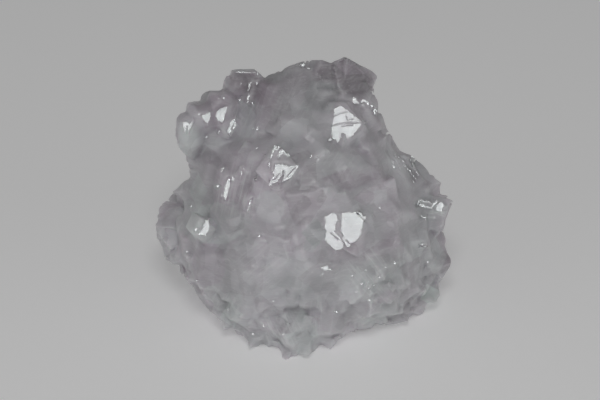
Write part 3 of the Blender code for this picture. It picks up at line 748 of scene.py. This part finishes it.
def bright_groups():
    """Outlines that lie on one plane, group by group."""
    together = {name for names in SHARED for name in names}
    groups = [[FACES[name] for name in names] for names in SHARED]
    groups += [[outline] for name, outline in FACES.items() if name not in together]
    groups += [[sparkle(*place)] for place in SPARKLES]
    groups += [[dash(*place)] for place in DASHES]
    return [[np.array(outline, dtype=float) for outline in group] for group in groups]


def near_outlines(places, margin):
    """Which places are inside or close to any of the flat faces."""
    result = np.zeros(len(places), dtype=bool)
    for outline in sum(bright_groups(), []):
        result |= around(places, outline, margin)
    return result


def refine_near_faces(mesh):
    """Halves the mesh cells around the flat faces, on the side that the camera sees."""
    places, far = seen(points_of(mesh))
    towards = (normals_of(mesh) @ AHEAD) < 0.15
    chosen = near_outlines(places, 2.0) & towards & (far < DISTANCE + 12.0)
    bm = bmesh.new()
    bm.from_mesh(mesh)
    bm.verts.ensure_lookup_table()
    edges = [e for e in bm.edges if chosen[e.verts[0].index] and chosen[e.verts[1].index]]
    bmesh.ops.subdivide_edges(bm, edges=edges, cuts=1, use_grid_fill=True)
    bmesh.ops.triangulate(bm, faces=bm.faces)
    bm.to_mesh(mesh)
    bm.free()


def skin_tree(points, mesh):
    flat = np.empty(len(mesh.loops), dtype=np.int32)
    mesh.loops.foreach_get("vertex_index", flat)
    return BVHTree.FromPolygons(points.tolist(), flat.reshape(-1, 3).tolist())


def half_way(place):
    """The way a face must look to mirror the key light into the camera."""
    return np.array(((EYE - place).normalized() + (KEY_LIGHT - place).normalized()).normalized())


RIM_WIDTH = 0.9  # in view steps
FACET_REACH = 5.0  # how far round a facet the skin follows it, in view steps
USUAL_MOST = 0.4  # how far a facet may move the skin, in millimetres
BRIGHT_MOST = 4.0  # the same for a bright face
SAME_DEPTH = 4.0  # how far before or behind a face the skin still belongs to it, in millimetres
LIFT = 0.06  # how far a face stands out from the middle of the skin that it flattens
CRACK_DEPTH = 0.10


def press_group(outlines, skin, reach, most, bright):
    """Moves the skin along the lines of sight until the outlines hold one flat face.

    A bright face mirrors the key light and is left alone from then on. Any other face keeps
    looking the way that the skin does, and moves by no more than the most.
    """
    places, far, normals, towards, held, rim, tree = skin
    eye = np.array(EYE)
    middle = max(outlines, key=outline_size).mean(axis=0)
    hit = tree.ray_cast(EYE, Vector(ray(middle)))[0]
    if hit is None:
        return None
    deep = (np.array(hit) - eye) @ AHEAD
    near = around(places, np.vstack(outlines), reach) & towards & (abs(far - deep) < SAME_DEPTH)
    chosen = np.flatnonzero(near)
    if not len(chosen):
        return None
    rough = ragged(places[chosen])
    within = np.any([inside(rough, outline) for outline in outlines], axis=0)
    if not within.any():
        return None
    facing = half_way(hit)
    if not bright:
        facing = normals[chosen][within].mean(axis=0)
        facing /= np.linalg.norm(facing)
    sight = ray(places[chosen])
    level = (eye + far[chosen, None] * sight)[within] @ facing
    plane = level.mean() + LIFT
    wanted = (plane - eye @ facing) / (sight @ facing)
    away = np.full(len(chosen), np.inf)
    for outline in outlines:
        away = np.minimum(away, distance_to_line(rough, np.vstack([outline, outline[:1]])))
    pull = np.where(within, 1.0, 0.8 * np.clip(1 - away / reach, 0, 1) ** 2)
    far[chosen] += pull * ~held[chosen] * np.clip(wanted - far[chosen], -most, most)
    if bright:
        held[chosen[within]] = True
        rim[chosen[away < RIM_WIDTH]] = True
    return facing


def press_faces(mesh):
    """Presses all the flat faces into the skin.

    Returns each bright outline with the direction that its face looks along, and the points on
    the outlines.
    """
    points, normals = points_of(mesh), normals_of(mesh)
    places, far = seen(points)
    towards = (normals @ AHEAD) < 0.2
    held = np.zeros(len(points), dtype=bool)
    rim = np.zeros(len(points), dtype=bool)
    skin = places, far, normals, towards, held, rim, skin_tree(points, mesh)
    for name, outline in FACETS.items():
        most = FACET_MOST.get(name, USUAL_MOST)
        press_group([np.array(outline, dtype=float)], skin, FACET_REACH, most, bright=False)
    pressed = []
    groups = sorted(bright_groups(), key=lambda group: max(map(outline_size, group)), reverse=True)
    for group in groups:
        reach = min(12.0, 1.0 + 0.5 * max(map(outline_size, group)))
        facing = press_group(group, skin, reach, BRIGHT_MOST, bright=True)
        if facing is not None:
            pressed += [(outline, facing) for outline in group]
    for width, line in CRACKS.values():
        line = np.array(line, dtype=float)
        chosen = np.flatnonzero(around(places, line, width) & towards)
        away = distance_to_line(places[chosen], line)
        far[chosen] += CRACK_DEPTH * np.clip(1.6 - 1.6 * away / width, 0, 1)
        rim[chosen[away < width]] = True
    place_points(mesh, np.array(EYE) + far[:, None] * ray(places))
    return pressed, np.flatnonzero(rim)


def mark_faces(mesh, pressed):
    """Gives the flat faces flat shading and the second, more polished material."""
    count = len(mesh.polygons)
    middles, facings = np.empty(count * 3), np.empty(count * 3)
    mesh.polygons.foreach_get("center", middles)
    mesh.polygons.foreach_get("normal", facings)
    places, _ = seen(middles.reshape(-1, 3))
    places = ragged(places)
    facings = facings.reshape(-1, 3)
    bright = np.zeros(count, dtype=bool)
    for outline, facing in pressed:
        near = np.flatnonzero(around(places, outline))
        agrees = facings[near] @ facing > SAME_WAY
        bright[near] |= inside(places[near], outline) & agrees
    mesh.polygons.foreach_set("use_smooth", ~bright)
    mesh.polygons.foreach_set("material_index", bright.astype(np.int32))
    mesh.update()


BOX_MARGIN = 0.00002


def keep_in_box(points):
    """The points, kept just inside the box of the modelled solid."""
    low, high = (np.array(corner) / MM for corner in cad_box)
    return np.clip(points, low + BOX_MARGIN, high - BOX_MARGIN)


# Crystals that keep their sharp edges: middle and reach, in millimetres.
CRISP = {
    "top_block": ((11.0, 8.0, 46.0), 8.5),
    "top_left_block": ((-11.5, 9.0, 44.5), 4.5),
    "edge_block": ((26.5, -4.0, 16.0), 7.0),
    "left_margin": ((-28.0, 0.0, 17.0), 7.0),
    "low_right": ((15.0, -18.0, 16.0), 9.0),
}


def smooth_share(points):
    """1 where the cluster is smooth, lower where it is full of small crystals."""
    upper = np.clip((points[:, 2] - 9.0) / 12.0, 0, 1)
    front = np.clip((4.0 - points[:, 1]) / 8.0, 0, 1)
    crown = np.clip((points[:, 2] - 30.0) / 6.0, 0, 1)
    share = 0.06 + 0.94 * upper * np.maximum(front, crown)
    for middle, reach in CRISP.values():
        away = np.linalg.norm(points - middle, axis=1)
        share *= 0.06 + 0.94 * np.clip(away / reach * 2 - 1, 0, 1)
    return share


def islands(bm):
    """The points of each connected piece of a mesh."""
    waiting = set(bm.verts)
    while waiting:
        island = [waiting.pop()]
        for vert in island:
            near = {edge.other_vert(vert) for edge in vert.link_edges} & waiting
            waiting -= near
            island += near
        yield island


def without_specks(mesh):
    """Leaves out slivers, and every piece but the largest."""
    bm = bmesh.new()
    bm.from_mesh(mesh)
    bmesh.ops.dissolve_degenerate(bm, dist=0.0005, edges=bm.edges)
    bm.verts.index_update()
    pieces = sorted(islands(bm), key=len)
    specks = sorted(sum(pieces[:-1], []), key=lambda vert: vert.index)
    bmesh.ops.delete(bm, geom=specks, context="VERTS")
    bmesh.ops.triangulate(bm, faces=bm.faces)
    bm.to_mesh(mesh)
    bm.free()


def clear_of_base(points):
    """0 at the flat cut underneath, so that it stays flat, and 1 from 0.9 mm above it."""
    return np.clip((points[:, 2] - 0.3) / 0.6, 0, 1)


def detailed_mesh():
    chance = random.Random(11)
    solid = cad_solid()
    tree = BVHTree.FromBMesh(solid)
    add_plates(solid, tree, chance, PLATES)
    for row in DRUSE:
        add_druse(solid, tree, chance, *row)
    add_lumps(solid)
    mesh = one_skin(mesh_of(solid, "crystal_shapes"), VOXEL)

    points = points_of(mesh)
    amount = smooth_share(points) * clear_of_base(points)
    points = softened(points, edges_of(mesh), 0.8 * clear_of_base(points), 2)
    points = softened(points, edges_of(mesh), amount, SOFT_ROUNDS)
    place_points(mesh, keep_in_box(follow_outline(points)))
    refine_near_faces(mesh)
    points, normals = points_of(mesh), normals_of(mesh)
    clear = clear_of_base(points)
    points += normals * (growth_relief(points) * clear)[:, None]
    points = softened(points, edges_of(mesh), 0.6 * clear, 2)
    place_points(mesh, points)
    pressed, rim = press_faces(mesh)
    place_points(mesh, keep_in_box(points_of(mesh)))

    obj = new_object("calcite_crystals", mesh)
    kept = obj.vertex_groups.new(name="rims")
    kept.add(rim.tolist(), 1.0, "REPLACE")
    thin = obj.modifiers.new("fewer_faces", "DECIMATE")
    thin.vertex_group = kept.name
    thin.invert_vertex_group = True
    thin.ratio = min(1.0, TRIANGLES / sum(len(p.vertices) - 2 for p in mesh.polygons))
    final = evaluated(obj)
    obj.modifiers.clear()
    place_points(final, keep_in_box(points_of(final)))
    without_specks(final)
    final.materials.clear()
    final.shade_smooth()
    final.set_sharp_from_angle(angle=SHARP_ANGLE)
    tree = skin_tree(points_of(final), final)
    tables = [on_skin(tree, table) for table in (ZONES, DIAMONDS, GROWTH_LINES)]
    final.materials.append(calcite("mangano_calcite", tables, (0.34, 0.48), 900, 0.5, (1, 1, 1, 1)))
    polished = calcite(
        "mangano_calcite_polished", ([], [], []), (0.04, 0.32), 2400, 0.41, (0.93, 1, 0.98, 1)
    )
    final.materials.append(polished)
    mark_faces(final, pressed)
    final.transform(Matrix.Scale(MM, 4))
    obj.data = final
    return obj


# Materials

def on_skin(tree, table):
    """The rows of a table, with each middle as a place on the skin that the camera sees."""
    rows = []
    for middle, *rest in table.values():
        hit = tree.ray_cast(EYE, Vector(ray(np.array(middle, dtype=float))))[0]
        if hit is not None:
            rows.append((hit, *rest))
    return rows


def calcite(name, tables, roughness, grain, mirror, mirror_tint):
    zones, diamonds, lines = tables
    material = bpy.data.materials.new(name)
    material.use_nodes = True
    tree = material.node_tree
    nodes, links = tree.nodes, tree.links
    shader = nodes["Principled BSDF"]
    out = nodes["Material Output"]
    where = nodes.new("ShaderNodeTexCoord").outputs["Object"]

    def put(sockets):
        """Links each socket to another node's output, or sets it to a plain value."""
        for socket, value in sockets:
            if isinstance(value, bpy.types.NodeSocket):
                links.new(value, socket)
            else:
                socket.default_value = value

    def node(kind, **values):
        made = nodes.new(kind)
        put((made.inputs[name], value) for name, value in values.items())
        return made

    def mapped(vector, kind="POINT", place=(0, 0, 0), turn=(0, 0, 0), scale=(1, 1, 1)):
        made = node("ShaderNodeMapping", Location=place, Rotation=turn, Scale=scale, Vector=vector)
        made.vector_type = kind
        return made.outputs["Vector"]

    def noise_on(vector, scale, detail, rough=0.55, distortion=0.0, out="Fac"):
        look = {"Scale": scale, "Detail": detail, "Roughness": rough, "Distortion": distortion}
        return node("ShaderNodeTexNoise", **look, Vector=vector).outputs[out]

    def noise(scale, detail, stretch=(1, 1, 1), turn=(0, 0, 0), rough=0.55, distortion=0.0, out="Fac"):
        return noise_on(mapped(where, turn=turn, scale=stretch), scale, detail, rough, distortion, out)

    def math_of(kind, a, b):
        made = node("ShaderNodeMath")
        made.operation = kind
        put(zip(made.inputs, (a, b)))
        return made.outputs[0]

    def ramp(value, *stops):
        """A grey or coloured ramp between places from 0 to 1."""
        made = node("ShaderNodeValToRGB", Fac=value)
        elements = made.color_ramp.elements
        for i, (place, colour) in enumerate(stops):
            element = elements[i] if i < 2 else elements.new(place)
            element.position = place
            element.color = colour if isinstance(colour, tuple) else (colour, colour, colour, 1)
        return made.outputs["Color"]

    def blend(kind, amount, a, b):
        made = node("ShaderNodeMix")
        made.data_type = "RGBA"
        made.blend_type = kind
        put((made.inputs[i], value) for i, value in ((0, amount), (6, a), (7, b)))
        return made.outputs[2]

    def bent(vector, scale, amount):
        """The vector, moved a little by noise, so that borders are not straight."""
        wander = noise(scale, 2, out="Color")
        made = node("ShaderNodeMix")
        made.data_type = "VECTOR"
        put((made.inputs[i], value) for i, value in ((0, amount), (4, vector), (5, wander)))
        return made.outputs[1]

    # Shared by all the tones and lines, since the renderer has room for only so many nodes.
    loose, tight, stripy = bent(where, 220, 0.0006), bent(where, 260, 0.0003), bent(where, 90, 0.0004)
    crooked = bent(where, 160, 0.0012)

    def cells(scale):
        return node("ShaderNodeTexVoronoi", Scale=scale, Vector=crooked).outputs["Color"]

    def lying(vector, middle, half, roll):
        """The vector from -1 to 1 over a box that lies along the line of sight."""
        lie = Matrix.Rotation(math.radians(-30), 3, "X") @ Matrix.Rotation(math.radians(-roll), 3, "Y")
        size = (half[0] * VIEW_STEP * MM, ZONE_DEPTH * MM, half[1] * VIEW_STEP * MM)
        return mapped(vector, "TEXTURE", middle * MM, lie.to_euler("XYZ"), size)

    def zone(middle, half, roll):
        """1 in the middle of an ellipsoid that lies along the line of sight, and 0 outside it."""
        made = node("ShaderNodeTexGradient", Vector=lying(loose, middle, half, roll))
        made.gradient_type = "SPHERICAL"
        return made.outputs["Fac"]

    def diamond(middle, half, roll):
        """1 in the middle of a four-sided column along the line of sight, and 0 outside it."""
        apart = node("ShaderNodeSeparateXYZ", Vector=lying(tight, middle, half, roll))
        across, along, up = (math_of("ABSOLUTE", apart.outputs[i], 0.0) for i in range(3))
        away = math_of("MAXIMUM", math_of("ADD", across, up), along)
        return math_of("SUBTRACT", 1.0, away)

    def growth_lines(middle, half, roll, strength, count):
        fine = mapped(lying(stripy, middle, half, roll), scale=(count, 1.5, 0.7))
        lines = ramp(noise_on(fine, 1.0, 3, rough=0.7), (0.50, 0.0), (0.66, 1.0))
        return math_of("MULTIPLY", lines, ramp(zone(middle, half, roll), (0.0, 0.0), (0.4, strength)))

    patches = ramp(noise(85, 3), (0.40, 0.0), (0.62, 1.0))
    colour = blend("MIX", patches, (0.665, 0.63, 0.672, 1), (0.68, 0.677, 0.697, 1))
    # Tones of the crystals, among them painted shade on the crown, top blocks, margins and hollows, and
    # painted light on the lower right block.
    for shape, rows in ((zone, zones), (diamond, diamonds)):
        for middle, half, roll, tone, strength, edge in rows:
            amount = ramp(shape(middle, half, roll), (0.0, 0.0), (edge, strength))
            colour = blend("MIX", amount, colour, TONES[tone])
    tone_of_crystal = ramp(cells(150), (0.2, (0.91, 0.90, 0.91, 1)), (0.8, (1.06, 1.07, 1.07, 1)))
    colour = blend("MULTIPLY", 1.0, colour, tone_of_crystal)
    tone_of_grain = ramp(cells(420), (0.2, 0.93), (0.8, 1.06))
    colour = blend("MULTIPLY", 1.0, colour, tone_of_grain)
    for turn, seed_scale in (((0.6, 0.4, 0.2), 260), ((-0.5, 0.3, 1.4), 310), ((0.2, 1.2, -0.6), 350)):
        veils = noise(seed_scale, 8, (1, 1, 5), turn, 0.62, 1.0)
        colour = blend("MIX", ramp(veils, (0.52, 0.0), (0.80, 0.4)), colour, (0.88, 0.88, 0.89, 1))
    for row in lines:
        colour = blend("MIX", growth_lines(*row), colour, (0.90, 0.92, 0.92, 1))
    specks = ramp(noise(1500, 2), (0.66, 0.0), (0.74, 0.4))
    colour = blend("MIX", specks, colour, (0.9, 0.9, 0.9, 1))
    links.new(colour, shader.inputs["Base Color"])

    shader.inputs["IOR"].default_value = 1.6
    shader.inputs["Subsurface Weight"].default_value = 0.9
    shader.inputs["Subsurface Radius"].default_value = (1.0, 0.9, 0.95)
    shader.inputs["Subsurface Scale"].default_value = 0.0032
    shader.inputs["Specular Tint"].default_value = mirror_tint
    shader.inputs["Specular IOR Level"].default_value = mirror
    links.new(ramp(noise(grain, 4), (0.35, roughness[0]), (0.8, roughness[1])), shader.inputs["Roughness"])
    clear = ramp(noise(95, 3), (0.42, 0.04), (0.70, 0.25))
    links.new(clear, shader.inputs["Transmission Weight"])
    absorb = nodes.new("ShaderNodeVolumeAbsorption")
    absorb.inputs["Color"].default_value = (0.92, 0.84, 0.89, 1)
    absorb.inputs["Density"].default_value = 20.0
    links.new(absorb.outputs["Volume"], out.inputs["Volume"])
    bump = nodes.new("ShaderNodeBump")
    bump.inputs["Strength"].default_value = 0.10
    bump.inputs["Distance"].default_value = 0.00005
    links.new(noise(1800, 6), bump.inputs["Height"])
    links.new(bump.outputs["Normal"], shader.inputs["Normal"])
    return material


def plain_floor():
    material = bpy.data.materials.new("plain_floor")
    material.use_nodes = True
    shader = material.node_tree.nodes["Principled BSDF"]
    shader.inputs["Base Color"].default_value = (0.9, 0.9, 0.9, 1)
    shader.inputs["Roughness"].default_value = 0.7
    shader.inputs["Emission Color"].default_value = (1, 1, 1, 1)
    shader.inputs["Emission Strength"].default_value = 0.16
    return material


# Studio

def floor():
    bpy.ops.mesh.primitive_plane_add(size=4.0, location=(0, 0, 0))
    made = bpy.context.active_object
    made.name = "floor"
    made.data.materials.append(plain_floor())


def aimed(name, data, place):
    """An object at that place, looking at the target."""
    made = new_object(name, data)
    made.location = place * MM
    made.rotation_euler = (TARGET - place).to_track_quat("-Z", "Y").to_euler()
    return made


def area_light(name, place, size, watts):
    light = bpy.data.lights.new(name, "AREA")
    light.shape = "RECTANGLE"
    light.size, light.size_y = size
    light.energy = watts
    aimed(name, light, place)


def studio():
    area_light("key", KEY_LIGHT, (0.12, 0.10), 0.35)
    area_light("left_fill", TARGET + direction(-55, 10) * 700, (0.5, 0.4), 0.34)
    area_light("right_fill", TARGET + direction(55, 10) * 700, (0.5, 0.4), 0.34)
    world = bpy.data.worlds.new("studio")
    world.use_nodes = True
    world.node_tree.nodes["Background"].inputs["Color"].default_value = (0.17, 0.17, 0.17, 1)
    bpy.context.scene.world = world
    bpy.context.scene.view_settings.view_transform = "Standard"


def camera():
    data = bpy.data.cameras.new("camera")
    data.lens = LENS
    data.sensor_width = SENSOR
    data.clip_start = 0.01
    bpy.context.scene.camera = aimed("camera", data, EYE)


camera()
crystals = detailed_mesh()
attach(crystals, "root")
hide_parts(NODE)
floor()
studio()
